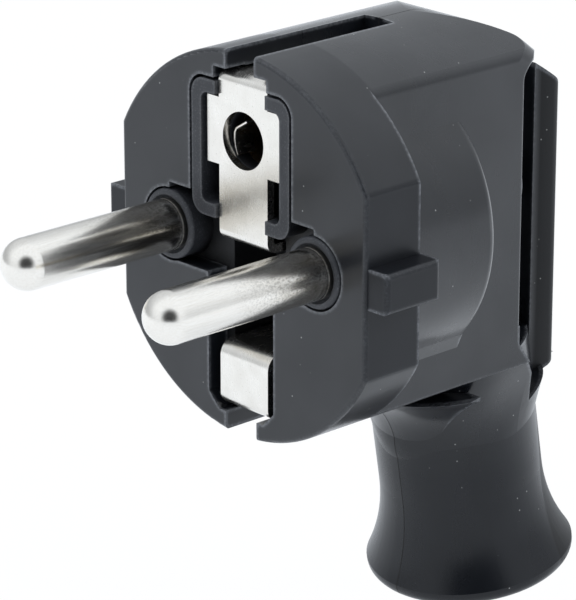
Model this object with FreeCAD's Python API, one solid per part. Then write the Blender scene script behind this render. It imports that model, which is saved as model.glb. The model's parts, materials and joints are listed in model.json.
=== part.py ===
import FreeCAD, Part
import math
import os

# Right-angle rewirable plug with two round pins and two kinds of earth contact.
# Millimetres. The engaging face is the plane y = 0 and the pins point to -Y. +Z is up,
# away from the handle. The origin is midway between the pins on the engaging face.
# The housing is split on the plane x = 0.

V = FreeCAD.Vector

# Pins
PIN_R = 2.4
PIN_LENGTH = 19.0
PIN_HALF_SPACING = 9.5
TURNED_BEVEL = 0.35
PIN_GROOVE_R = 2.2
PIN_GROOVE_START_Y = -0.3
PIN_SEAT_R = 2.75
PIN_SEAT_START_Y = 0.3
PIN_FLANGE_R = 3.2
PIN_FLANGE_T = 1.5
PIN_HEAD_R = 2.8
PIN_HEAD_LENGTH = 7.4
WIRE_HOLE_R = 1.5

# Flange disc of the front end
RIM_R = 18.0
RIM_DEPTH = 6.6
FLAT_DEPTH = 2.05
FLAT_HALF_WIDTH = RIM_R - FLAT_DEPTH
LUG_PROUD = 0.3
LUG_HALF_WIDTH = RIM_R + LUG_PROUD
LUG_END_Y = 6.8
LUG_EDGE_R = 0.45
LUG_HALF_HEIGHT = 1.85
LUG_SETBACK = 0.3
EDGE_BEVEL = 0.4
FACE_WALL = 2.3

# Body behind the flange disc
BODY_HALF_WIDTH = 10.0
BODY_EDGE_R = 1.2
CHEEK_END_Y = 25.8
BOSS_R = 14.4
BOSS_END_Y = 18.1
BOSS_EDGE_R = 1.1
BOSS_WALL = 1.6
LEDGE_TOP_Z = -9.7
LEDGE_HEIGHT = 1.4
LEDGE_SETBACK = 0.6
LEDGE_RISE = 0.3
WALL = 1.8

# Shoulder and spine at the rear
SHOULDER_Y = 20.2
SHOULDER_R = 12.0
SHOULDER_TURN = 37.5
SHOULDER_LIFT = 0.03
SHOULDER_CORNER_SETBACK = 1.0
SHOULDER_SIDE_R = 2.5
REAR_Y = 35.2
REAR_CORNER_R = 2.5
SPINE_HALF_WIDTH = 6.0
SPINE_FRONT_HALF_WIDTH = 5.2
SPINE_BULGE = 0.25
SPINE_EDGE_R = 1.0
SPINE_START_Y = 32.2
SPINE_FOOT_Z = -19.0
SPINE_FOOT_RISE = 1.4
WEB_HALF_WIDTH = 3.4
GROOVE_TOP_Z = 13.9
GROOVE_CORNER_R = 1.6
GROOVE_FOOT_Z = -12.9
GROOVE_KNEE_Y = 28.5
GROOVE_KNEE_Z = -16.6
GROOVE_TIP_Y = 29.3
GROOVE_TIP_Z = -19.9
GROOVE_EDGE_R = 0.3
NECK_TUBE_R = 6.6
NECK_TUBE_START = -4.6

# Handle, on an axis that leans back as it goes down
HANDLE_Y = 26.66
HANDLE_Z = -18.0
HANDLE_LEAN = 9.6
NECK_R = 7.87
NECK_TOP = 5.2
NECK_BLEND_R = 8.5
NECK_BLEND_RISE = 7.4
NECK_BLEND_END_Y = 20.7
SKIRT_FRONT_Y = 19.2
SKIRT_REAR_Y = 34.2
SKIRT_TOP = -7.0
SKIRT_INSET = 0.02
SKIRT_STRAIGHT = 3.0
SKIRT_POWER = 4.0
SKIRT_MID = 0.3
SKIRT_MID_SHARE = 0.4
SKIRT_MID_POWER = 3.0
SKIRT_MEET = 1.0
SKIRT_MEET_PROUD = 0.1
SKIRT_DIVE = 2.3
SKIRT_DIVE_DEPTH = 0.4
SKIRT_STEPS = 40
FLARE_START = 11.0
FLARE_R = 17.0
FLARE_END = 19.3
HANDLE_END = 20.8
HANDLE_EDGE_R = 1.3
BORE_R = 5.2
MOUTH_R = 5.5
MOUTH_SPREAD = 2.75
BORE_TOP = -3.0

# Seam between the two half shells
SEAM_GAP = 0.1

# Openings in the face
COLLAR_R = 3.3
COLLAR_PROUD = 0.2
COLLAR_GAP = 0.17
COLLAR_HOLE_BEVEL = 0.3
FRAME_HALF_WIDTH = 6.35
FRAME_BOTTOM_Z = 2.0
FRAME_TOP_Z = 14.7
FRAME_WALL = 1.25
FRAME_CORNER_R = 1.5
FRAME_POCKET_DEPTH = 3.3
FRAME_GAP = 0.3
BAND_TOP_Z = 4.0
BAND_BOTTOM_Z = -3.3
LOWER_SLOT_HALF_WIDTH = 4.3
LOWER_SLOT_CORNER = 1.4
LIP_T = 1.9
UPPER_LIP_GAP = 3.7
LOWER_LIP_GAP = 4.1
LIP_SLOT_END_Y = 17.0

# Earth strips
STRIP_W = 6.3
STRIP_T = 0.8
STRIP_GAP = 0.3
STRIP_FRONT_Y = 0.4
STRIP_END_Y = 16.4
STRIP_BEND_R = 1.0
PLATE_WING_GAP = 0.4
PLATE_WING_HALF_WIDTH = FRAME_HALF_WIDTH - FRAME_WALL - PLATE_WING_GAP
PLATE_WING_BOTTOM_Z = 7.0
PLATE_WING_TOP_Z = 13.2
PLATE_BOTTOM_Z = 0.8
CLIP_TOP_Z = -9.6
CLIP_BEND_R = 1.5
LUG_BEND_R = 0.3

# Round receptacle in the plate
SOCKET_Z = 9.8
SOCKET_R = 2.65
TUBE_WALL = 1.0
TUBE_END_Y = 15.8
SPRING_T = 0.4
SPRING_START_Y = 2.9
SPRING_PROUD = 0.4
SPRING_FIRST_ANGLE = 75.0
SPRING_LAST_ANGLE = 290.0
SPRING_TONGUE_W = 4.0

# Insert that carries the contacts
CARRIER_T = 3.0
CARRIER_CLEARANCE = 0.2
CARRIER_SLOT_HALF_WIDTH = 3.4
CARRIER_SLOT_BOTTOM_Z = -13.2
BLOCK_FRONT_Y = 7.5
BLOCK_HALF_WIDTH = 4.6

# Earth terminal
EARTH_Z = -4.2
EARTH_LAP = 2.6
EARTH_SCREW_R = 1.7
EARTH_HEAD_R = 2.9
EARTH_HEAD_T = 1.8
NUT_SIDE = 5.8
NUT_T = 2.3
WASHER_SIDE = 6.0
WASHER_T = 0.8

# Terminal screws of the pins
TERMINAL_SCREW_R = 1.5
TERMINAL_HEAD_R = 2.65
TERMINAL_HEAD_T = 1.4
PRESSURE_PLATE_T = 0.5
SLOT_W = 0.8
SLOT_DEPTH = 0.7

# Housing screws and their brass inserts: the places are (y, z) on the seam plane
TOP_SCREW_Y = 21.3
TOP_SCREW_DROP = 7.6
TOP_SCREW_Z = RIM_R - TOP_SCREW_DROP
LOWER_SCREW_Y = 20.8
LOWER_SCREW_RISE = 6.0
LOWER_SCREW_Z = LOWER_SCREW_RISE - RIM_R
REAR_SCREW_Y = 28.3
REAR_BOSS_HALF_WIDTH = 4.6
REAR_SCREW_Z = 0.0
POST_R = 3.2
SCREW_R = 1.5
SCREW_HEAD_R = 2.5
SCREW_HEAD_T = 1.7
SCREW_HEAD_SUNK = 0.4
INSERT_R = 2.1
INSERT_LENGTH = 3.0
INSERT_GROOVE_START = 1.2
INSERT_GROOVE_W = 0.6
INSERT_GROOVE_DEPTH = 0.3
CROSS_REACH = 1.5

# Ribs that hold the pins and the insert
RIB_Y = 7.0
RIB_T = 1.3
RIB_INNER_X = 6.4

# Cord grips in the neck
GRIP_START = 4.5
GRIP_LENGTH = 8.0
GRIP_R = 6.2
GRIP_WALL = 1.5
GRIP_TOOTH = 0.7
GRIP_TEETH = 4
GRIP_PARTING = 1.2

# Fits
FIT = 0.05
SLIP = 0.1

# How far pieces reach into each other before they are joined, how far a cut runs past
# the surface that it opens, and how near an edge lies to a plane that it counts as on
OVERLAP = 0.5
PAST = 1.0
NEAR = 0.01

FAR = 60.0


def box(x0, x1, y0, y1, z0, z1):
    return Part.makeBox(x1 - x0, y1 - y0, z1 - z0, V(x0, y0, z0))


def rod_x(radius, x0, x1, y, z):
    return Part.makeCylinder(radius, x1 - x0, V(x0, y, z), V(1, 0, 0))


def rod_y(radius, y0, y1, x=0.0, z=0.0):
    return Part.makeCylinder(radius, y1 - y0, V(x, y0, z), V(0, 1, 0))


def prism(points, direction):
    wire = Part.makePolygon(points + [points[0]])
    return Part.Face(wire).extrude(direction)


def prism_y(outline, y0, y1):
    """Extrude an (x, z) outline along Y."""
    return prism([V(x, y0, z) for x, z in outline], V(0, y1 - y0, 0))


def mirrored(shape):
    return shape.mirror(V(0, 0, 0), V(1, 0, 0))


def both_sides(shape):
    return shape.fuse(mirrored(shape))


def fuse_all(shapes):
    return shapes[0].multiFuse(shapes[1:]).removeSplitter()


def fillet_where(shape, radius, wanted):
    """Round the edges for which wanted(edge) is true."""
    edges = [edge for edge in shape.Edges if wanted(edge)]
    return shape.makeFillet(radius, edges)


def bevel_where(shape, size, wanted):
    """Bevel the edges for which wanted(edge) is true."""
    edges = [edge for edge in shape.Edges if wanted(edge)]
    return shape.makeChamfer(size, edges)


def runs_along(edge, axis):
    """True when the edge is straight and parallel to the axis."""
    if edge.Curve.TypeId != "Part::GeomLine":
        return False
    return abs(edge.Curve.Direction.dot(axis)) > 0.999


def side_profile(inset, bottom_z):
    """Side view of the body as a face on x = 0: flat top, round shoulder, slope and rear wall."""
    radius = SHOULDER_R + SHOULDER_LIFT - inset
    centre_z = RIM_R - SHOULDER_R
    turn = math.radians(SHOULDER_TURN)
    top = V(0, SHOULDER_Y, centre_z + radius)
    middle = V(0, SHOULDER_Y + radius * math.sin(turn / 2), centre_z + radius * math.cos(turn / 2))
    slope_start = V(0, SHOULDER_Y + radius * math.sin(turn), centre_z + radius * math.cos(turn))
    rear_y = REAR_Y - inset
    slope_end = V(0, rear_y, slope_start.z - (rear_y - slope_start.y) * math.tan(turn))
    corner_r = REAR_CORNER_R - inset / 2
    reach = corner_r * math.tan((math.pi / 2 - turn) / 2)
    corner_start = slope_end - V(0, math.cos(turn), -math.sin(turn)) * reach
    corner_end = slope_end - V(0, 0, reach)
    corner_centre = corner_end - V(0, corner_r, 0)
    corner_turn = (turn + math.pi / 2) / 2
    corner_middle = corner_centre + V(0, math.sin(corner_turn), math.cos(corner_turn)) * corner_r
    foot = V(0, rear_y, bottom_z)
    front = V(0, 0, bottom_z)
    front_top = V(0, 0, top.z)
    edges = [
        Part.makeLine(front_top, top),
        Part.Arc(top, middle, slope_start).toShape(),
        Part.makeLine(slope_start, corner_start),
        Part.Arc(corner_start, corner_middle, corner_end).toShape(),
        Part.makeLine(corner_end, foot),
        Part.makeLine(foot, front),
        Part.makeLine(front, front_top),
    ]
    return Part.Face(Part.Wire(edges))


def side_slab(inset, half_width, y0, y1, bottom_z):
    """The side profile extruded to both sides of x = 0 and kept between y0 and y1."""
    face = side_profile(inset, bottom_z)
    face.translate(V(-half_width, 0, 0))
    slab = face.extrude(V(2 * half_width, 0, 0))
    return slab.common(box(-FAR, FAR, y0, y1, -FAR, FAR))


def handle_axis():
    lean = math.radians(HANDLE_LEAN)
    return V(0, math.sin(lean), -math.cos(lean))


def along_handle(distance, radius=0.0):
    """Point at a distance down the handle's axis, moved sideways by a radius."""
    lean = math.radians(HANDLE_LEAN)
    across = V(0, math.cos(lean), math.sin(lean))
    return V(0, HANDLE_Y, HANDLE_Z) + handle_axis() * distance + across * radius


def revolve_on_handle(edges):
    face = Part.Face(Part.Wire(edges))
    return face.revolve(along_handle(0), handle_axis(), 360)


def rod_on_handle(radius, start, end):
    return Part.makeCylinder(radius, end - start, along_handle(start), handle_axis())


def arc_point(start, radius, centre_offset, distance):
    """Radius of a hollow blend that starts at `start` and grows away from the neck."""
    step = distance - start
    return centre_offset - math.sqrt(radius * radius - step * step)


def rim():
    disc = rod_y(RIM_R, 0, RIM_DEPTH)
    disc = disc.common(box(-FLAT_HALF_WIDTH, FLAT_HALF_WIDTH, -PAST, RIM_DEPTH + PAST, -FAR, FAR))
    disc = fillet_where(disc, EDGE_BEVEL, lambda e: runs_along(e, V(0, 1, 0)) and e.BoundBox.YLength > 1)
    disc = fillet_where(disc, EDGE_BEVEL, lambda e: e.BoundBox.YMax < NEAR)
    lug = box(0, LUG_HALF_WIDTH, LUG_SETBACK, LUG_END_Y, -LUG_HALF_HEIGHT, LUG_HALF_HEIGHT)
    lug = fillet_where(lug, LUG_EDGE_R, lambda e: e.CenterOfMass.x > LUG_HALF_WIDTH - NEAR)
    return fuse_all([disc, lug, mirrored(lug)])


def barrel():
    """Round body with flat sides; its long edges are rounded."""
    block = rod_y(RIM_R, RIM_DEPTH / 2, REAR_Y + PAST)
    block = block.common(box(-BODY_HALF_WIDTH, BODY_HALF_WIDTH, 0, FAR, -FAR, FAR))
    block = fillet_where(block, BODY_EDGE_R, lambda e: runs_along(e, V(0, 1, 0)) and e.CenterOfMass.z > 0)
    slab = side_slab(0, BODY_HALF_WIDTH, 0, FAR, -RIM_R - PAST)
    slab = fillet_where(slab, SHOULDER_SIDE_R, lambda e: abs(e.CenterOfMass.x) > BODY_HALF_WIDTH - NEAR
                        and e.CenterOfMass.z > 0 and e.CenterOfMass.y > SHOULDER_Y)
    return block.common(slab)


def groove_cut():
    """Space behind each cheek, with a round upper end and a slanted foot."""
    radius = GROOVE_CORNER_R
    start = CHEEK_END_Y
    top = GROOVE_TOP_Z
    corner = V(0, start + radius * (1 - math.sqrt(0.5)), top - radius * (1 - math.sqrt(0.5)))
    past = REAR_Y + PAST
    foot_rise = SPINE_FOOT_RISE * (past - SPINE_START_Y) / (REAR_Y - SPINE_START_Y)
    points = [
        V(0, start, GROOVE_FOOT_Z),
        V(0, start, top - radius),
        V(0, start + radius, top),
        V(0, past, top),
        V(0, past, SPINE_FOOT_Z + foot_rise + OVERLAP),
        V(0, SPINE_START_Y, SPINE_FOOT_Z + OVERLAP),
        V(0, GROOVE_TIP_Y, GROOVE_TIP_Z),
        V(0, GROOVE_KNEE_Y, GROOVE_KNEE_Z),
    ]
    edges = [Part.makeLine(points[0], points[1]), Part.Arc(points[1], corner, points[2]).toShape()]
    edges += [Part.makeLine(points[index], points[index + 1]) for index in range(2, len(points) - 1)]
    edges.append(Part.makeLine(points[-1], points[0]))
    face = Part.Face(Part.Wire(edges))
    face.translate(V(WEB_HALF_WIDTH, 0, 0))
    cut = face.extrude(V(BODY_HALF_WIDTH, 0, 0))
    return both_sides(cut.cut(rod_on_handle(NECK_TUBE_R, NECK_TUBE_START, NECK_TOP)))


def shoulder_cut():
    """Slanted rear corners of the shoulder, above the grooves."""
    start_y = CHEEK_END_Y + SHOULDER_CORNER_SETBACK
    outline = [
        (BODY_HALF_WIDTH + PAST, start_y),
        (BODY_HALF_WIDTH, start_y),
        (SPINE_FRONT_HALF_WIDTH, SPINE_START_Y),
        (SPINE_FRONT_HALF_WIDTH, REAR_Y + PAST),
        (BODY_HALF_WIDTH + PAST, REAR_Y + PAST),
    ]
    cut = prism([V(x, y, 0) for x, y in outline], V(0, 0, FAR))
    return both_sides(cut)


def spine():
    """Flange behind the grooves with slightly crowned sides, and the web that joins it to the body."""
    front = V(SPINE_FRONT_HALF_WIDTH, SPINE_START_Y, 0)
    corner = V(SPINE_HALF_WIDTH, REAR_Y, 0)
    middle = (front + corner) / 2 + V(SPINE_BULGE, 0, 0)
    edges = [
        Part.makeLine(V(0, SPINE_START_Y, 0), front),
        Part.Arc(front, middle, corner).toShape(),
        Part.makeLine(corner, V(0, REAR_Y, 0)),
        Part.makeLine(V(0, REAR_Y, 0), V(0, SPINE_START_Y, 0)),
    ]
    plan = Part.Face(Part.Wire(edges))
    plan.translate(V(0, 0, SPINE_FOOT_Z))
    flange = plan.extrude(V(0, 0, FAR))
    flange = fillet_where(flange, SPINE_EDGE_R, lambda e: runs_along(e, V(0, 0, 1))
                          and e.CenterOfMass.y > REAR_Y - NEAR and e.CenterOfMass.x > 1)
    bevel = prism([V(0, REAR_Y, SPINE_FOOT_Z), V(0, REAR_Y, SPINE_FOOT_Z + SPINE_FOOT_RISE),
                   V(0, SPINE_START_Y, SPINE_FOOT_Z)], V(FAR, 0, 0))
    flange = both_sides(flange.cut(bevel))
    web = box(-WEB_HALF_WIDTH, WEB_HALF_WIDTH, CHEEK_END_Y - 2 * PAST, SPINE_START_Y + PAST, HANDLE_Z, FAR)
    return fuse_all([flange, web]).common(side_slab(0, BODY_HALF_WIDTH, 0, FAR, SPINE_FOOT_Z - PAST))


def boss():
    """Round shoulder on both sides that gives room to the terminals."""
    drum = rod_y(BOSS_R, RIM_DEPTH - PAST, BOSS_END_Y)
    drum = fillet_where(drum, BOSS_EDGE_R, lambda e: e.BoundBox.YMin > BOSS_END_Y - NEAR)
    shelf_x = math.sqrt(BOSS_R * BOSS_R - LEDGE_TOP_Z * LEDGE_TOP_Z)
    outline = [
        (BODY_HALF_WIDTH - PAST, LEDGE_TOP_Z + PAST),
        (shelf_x, LEDGE_TOP_Z + LEDGE_RISE),
        (shelf_x, LEDGE_TOP_Z),
        (BODY_HALF_WIDTH, LEDGE_TOP_Z - LEDGE_HEIGHT),
        (BODY_HALF_WIDTH - PAST, LEDGE_TOP_Z - LEDGE_HEIGHT),
    ]
    ledge = prism_y(outline, RIM_DEPTH - PAST, BOSS_END_Y - LEDGE_SETBACK)
    return fuse_all([drum, ledge, mirrored(ledge)])


def skirt_section(distance, half_width, front, rear, power):
    """Closed outline across the handle: a rounded box for a high power, an ellipse for 2."""
    lean = math.radians(HANDLE_LEAN)
    across = V(0, math.cos(lean), math.sin(lean))
    points = []
    for index in range(SKIRT_STEPS):
        angle = 2 * math.pi * (index + 0.5) / SKIRT_STEPS
        side = math.copysign(abs(math.cos(angle)) ** (2 / power), math.cos(angle))
        depth = math.copysign(abs(math.sin(angle)) ** (2 / power), math.sin(angle))
        reach = rear if depth > 0 else front
        points.append(along_handle(distance) + V(half_width * side, 0, 0) + across * (reach * depth))
    curve = Part.BSplineCurve()
    curve.interpolate(Points=points, PeriodicFlag=True)
    return Part.Wire(curve.toShape())


def skirt():
    """Lower end of the body: its flat sides run down smoothly into the round neck."""
    front = HANDLE_Y - SKIRT_FRONT_Y
    rear = SKIRT_REAR_Y - HANDLE_Y
    half_width = BODY_HALF_WIDTH - SKIRT_INSET
    share = SKIRT_MID_SHARE
    mid_half_width = share * BODY_HALF_WIDTH + (1 - share) * NECK_R
    mid_rear = share * rear + (1 - share) * NECK_R
    meet_r = NECK_R + SKIRT_MEET_PROUD
    dive_r = NECK_R - SKIRT_DIVE_DEPTH
    sections = [
        skirt_section(SKIRT_TOP, half_width, front, rear, SKIRT_POWER),
        skirt_section(SKIRT_TOP + SKIRT_STRAIGHT, half_width, front, rear, SKIRT_POWER),
        skirt_section(SKIRT_MID, mid_half_width, front, mid_rear, SKIRT_MID_POWER),
        skirt_section(NECK_TOP - SKIRT_MEET, meet_r, meet_r, meet_r, 2),
        skirt_section(NECK_TOP + SKIRT_DIVE, dive_r, dive_r, dive_r, 2),
    ]
    loft = Part.makeLoft(sections, True, False)
    side = BODY_HALF_WIDTH - SKIRT_INSET
    return loft.common(box(-side, side, 0, FAR, -FAR, 0))


def handle():
    """Round neck with a trumpet foot and a hollow blend up into the body."""
    blend_top = NECK_TOP - NECK_BLEND_RISE
    blend_centre = NECK_R + NECK_BLEND_R
    blend_mid = NECK_TOP - NECK_BLEND_RISE / 2
    flare_centre = NECK_R + FLARE_R
    flare_mid = (FLARE_START + FLARE_END) / 2
    top_r = arc_point(NECK_TOP, NECK_BLEND_R, blend_centre, blend_top)
    mid_r = arc_point(NECK_TOP, NECK_BLEND_R, blend_centre, blend_mid)
    flare_mid_r = arc_point(FLARE_START, FLARE_R, flare_centre, flare_mid)
    flare_r = arc_point(FLARE_START, FLARE_R, flare_centre, FLARE_END)
    edge_r = HANDLE_EDGE_R
    corner = edge_r * (1 - math.sqrt(0.5))
    foot_mid = along_handle(HANDLE_END - corner, flare_r - corner)
    stem = [
        Part.makeLine(along_handle(blend_top - PAST), along_handle(blend_top - PAST, NECK_R)),
        Part.makeLine(along_handle(blend_top - PAST, NECK_R), along_handle(FLARE_START, NECK_R)),
        Part.Arc(along_handle(FLARE_START, NECK_R), along_handle(flare_mid, flare_mid_r),
                 along_handle(FLARE_END, flare_r)).toShape(),
        Part.makeLine(along_handle(FLARE_END, flare_r), along_handle(HANDLE_END - edge_r, flare_r)),
        Part.Arc(along_handle(HANDLE_END - edge_r, flare_r), foot_mid,
                 along_handle(HANDLE_END, flare_r - edge_r)).toShape(),
        Part.makeLine(along_handle(HANDLE_END, flare_r - edge_r), along_handle(HANDLE_END)),
        Part.makeLine(along_handle(HANDLE_END), along_handle(blend_top - PAST)),
    ]
    collar = [
        Part.makeLine(along_handle(blend_top), along_handle(blend_top, top_r)),
        Part.Arc(along_handle(blend_top, top_r), along_handle(blend_mid, mid_r),
                 along_handle(NECK_TOP, NECK_R)).toShape(),
        Part.makeLine(along_handle(NECK_TOP, NECK_R), along_handle(NECK_TOP)),
        Part.makeLine(along_handle(NECK_TOP), along_handle(blend_top)),
    ]
    blend = revolve_on_handle(collar)
    reach = box(-BODY_HALF_WIDTH, BODY_HALF_WIDTH, 0, NECK_BLEND_END_Y, -FAR, 0)
    return fuse_all([revolve_on_handle(stem), blend.common(reach)])


def screw_places():
    return {
        "top": (TOP_SCREW_Y, TOP_SCREW_Z),
        "rear": (REAR_SCREW_Y, REAR_SCREW_Z),
        "bottom": (LOWER_SCREW_Y, LOWER_SCREW_Z),
    }


def outer_side_x(name):
    """Half-width of the housing where a screw goes in."""
    return REAR_BOSS_HALF_WIDTH if name == "rear" else BODY_HALF_WIDTH


def socket_tube_r():
    return SOCKET_R + SPRING_T + SLIP + TUBE_WALL


def cavity():
    """Hollow inside of the closed housing."""
    boss_room = rod_y(BOSS_R - BOSS_WALL, FACE_WALL, BOSS_END_Y - BOSS_WALL)
    body_room = rod_y(RIM_R - LIP_T, FACE_WALL, CHEEK_END_Y - WALL)
    body_room = body_room.common(side_slab(WALL, BODY_HALF_WIDTH - WALL, 0, FAR, -RIM_R))
    spine_room = side_slab(WALL, WEB_HALF_WIDTH - WALL, CHEEK_END_Y - WALL - PAST, FAR, GROOVE_FOOT_Z)
    return fuse_all([boss_room, body_room, spine_room])


def handle_bore():
    """Cord passage with a trumpet mouth."""
    mouth_start = HANDLE_END - MOUTH_R
    half = math.sqrt(0.5)
    mouth_r = BORE_R + MOUTH_SPREAD
    past = HANDLE_END + PAST
    edges = [
        Part.makeLine(along_handle(mouth_start), along_handle(mouth_start, BORE_R)),
        Part.Arc(along_handle(mouth_start, BORE_R),
                 along_handle(mouth_start + MOUTH_R * half, BORE_R + MOUTH_SPREAD * (1 - half)),
                 along_handle(HANDLE_END, mouth_r)).toShape(),
        Part.makeLine(along_handle(HANDLE_END, mouth_r), along_handle(past, mouth_r)),
        Part.makeLine(along_handle(past, mouth_r), along_handle(past)),
        Part.makeLine(along_handle(past), along_handle(mouth_start)),
    ]
    bore = rod_on_handle(BORE_R, BORE_TOP, mouth_start + OVERLAP)
    pocket = rod_on_handle(GRIP_R + SLIP, GRIP_START - SLIP, GRIP_START + GRIP_LENGTH + SLIP)
    return fuse_all([bore, pocket, revolve_on_handle(edges)])


def face_openings():
    """Everything cut through the front wall, and the two lipped slots."""
    through = FACE_WALL + SLIP
    collars = [rod_y(COLLAR_R + COLLAR_GAP, -PAST, through, side * PIN_HALF_SPACING) for side in (-1, 1)]
    band = box(-PIN_HALF_SPACING, PIN_HALF_SPACING, -PAST, through, BAND_BOTTOM_Z, BAND_TOP_Z)
    gap = FRAME_GAP
    window = box(-FRAME_HALF_WIDTH - gap, FRAME_HALF_WIDTH + gap, -PAST, through,
                 FRAME_BOTTOM_Z - gap, FRAME_TOP_Z + gap)
    window = fillet_where(window, FRAME_CORNER_R + gap,
                          lambda e: runs_along(e, V(0, 1, 0)) and e.CenterOfMass.z > SOCKET_Z)
    strip_half = STRIP_W / 2 + STRIP_GAP
    strip_way = box(-strip_half, strip_half, -PAST, through, SOCKET_Z, RIM_R - LIP_T)
    upper_lips = box(-UPPER_LIP_GAP / 2, UPPER_LIP_GAP / 2, -PAST, LIP_SLOT_END_Y,
                     RIM_R - LIP_T - OVERLAP, RIM_R + PAST)
    half = LOWER_SLOT_HALF_WIDTH
    lip_half = LOWER_LIP_GAP / 2
    lip_z = -(RIM_R - LIP_T)
    outline = [
        (half, BAND_BOTTOM_Z + SLIP),
        (half, lip_z + LOWER_SLOT_CORNER),
        (half - LOWER_SLOT_CORNER, lip_z),
        (-half + LOWER_SLOT_CORNER, lip_z),
        (-half, lip_z + LOWER_SLOT_CORNER),
        (-half, BAND_BOTTOM_Z + SLIP),
    ]
    lower_slot = prism_y(outline, -PAST, through)
    lower_lips = box(-lip_half, lip_half, -PAST, LIP_SLOT_END_Y, -RIM_R - PAST, lip_z + OVERLAP)
    return fuse_all(collars + [band, window, strip_way, upper_lips, lower_slot, lower_lips])


def retaining_ribs():
    """Ribs behind the pin flanges, open towards the seam so that each half drops over the pins."""
    plate = rod_y(BOSS_R - BOSS_WALL + OVERLAP, RIB_Y, RIB_Y + RIB_T)
    plate = plate.common(box(RIB_INNER_X, FAR, 0, FAR, -FAR, FAR))
    notch_r = PIN_HEAD_R + 2 * SLIP
    notch = rod_y(notch_r, RIB_Y - PAST, RIB_Y + RIB_T + PAST, PIN_HALF_SPACING)
    notch = notch.fuse(box(0, PIN_HALF_SPACING, RIB_Y - PAST, RIB_Y + RIB_T + PAST, -notch_r, notch_r))
    return both_sides(plate.cut(notch))


def strip_guides():
    """Side guides that keep both earth strips in line under the lips."""
    inner = STRIP_W / 2 + STRIP_GAP
    top = RIM_R - LIP_T / 2
    guide = box(inner, inner + WALL, FACE_WALL - OVERLAP, LIP_SLOT_END_Y, FRAME_TOP_Z + SLIP, top)
    guide = guide.common(rod_y(top, 0, FAR))
    upper = both_sides(guide)
    return upper.fuse(upper.mirror(V(0, 0, 0), V(0, 0, 1)))


def screw_post(name):
    y, z = screw_places()[name]
    reach = outer_side_x(name)
    return rod_x(POST_R, -reach, reach, y, z)


def screw_seat_x(name):
    """x of the face under a housing screw's head, on the left side."""
    return -outer_side_x(name) + SCREW_HEAD_SUNK + SCREW_HEAD_T


def screw_cuts(name):
    y, z = screw_places()[name]
    seat = screw_seat_x(name)
    outer = outer_side_x(name)
    insert_end = INSERT_LENGTH + SEAM_GAP / 2
    return fuse_all([
        rod_x(SCREW_HEAD_R + SLIP, -outer - PAST, seat, y, z),
        rod_x(SCREW_R + SLIP, seat - PAST, insert_end + OVERLAP, y, z),
        rod_x(INSERT_R + FIT, 0, insert_end, y, z),
    ])


def housing():
    """Closed housing before it is split: walls, posts, ribs and every opening."""
    grooves = groove_cut()
    body = fuse_all([barrel(), boss()]).cut(grooves)
    body = fillet_where(body, GROOVE_EDGE_R, lambda e: runs_along(e, V(0, 0, 1))
                        and abs(e.CenterOfMass.y - CHEEK_END_Y) < NEAR
                        and abs(e.CenterOfMass.x) > BODY_HALF_WIDTH - NEAR)
    body = fuse_all([body.cut(shoulder_cut()), skirt().cut(grooves)])
    outer = fuse_all([rim(), body, spine(), handle()])
    solid = outer.cut(cavity())
    inner = [retaining_ribs(), strip_guides()] + [screw_post(name) for name in screw_places()]
    envelope = rod_y(RIM_R - EDGE_BEVEL, EDGE_BEVEL, REAR_Y - EDGE_BEVEL)
    solid = fuse_all([solid, fuse_all(inner).common(envelope)])
    cuts = [handle_bore(), face_openings()] + [screw_cuts(name) for name in screw_places()]
    for cut in cuts:
        solid = solid.cut(cut)
    return solid


def half_shell(whole, side):
    """One half of the housing: side is -1 for left and 1 for right."""
    inner = SEAM_GAP / 2
    keep = box(inner, FAR, -FAR, FAR, -FAR, FAR)
    if side < 0:
        keep = mirrored(keep)
    return whole.common(keep)


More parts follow.
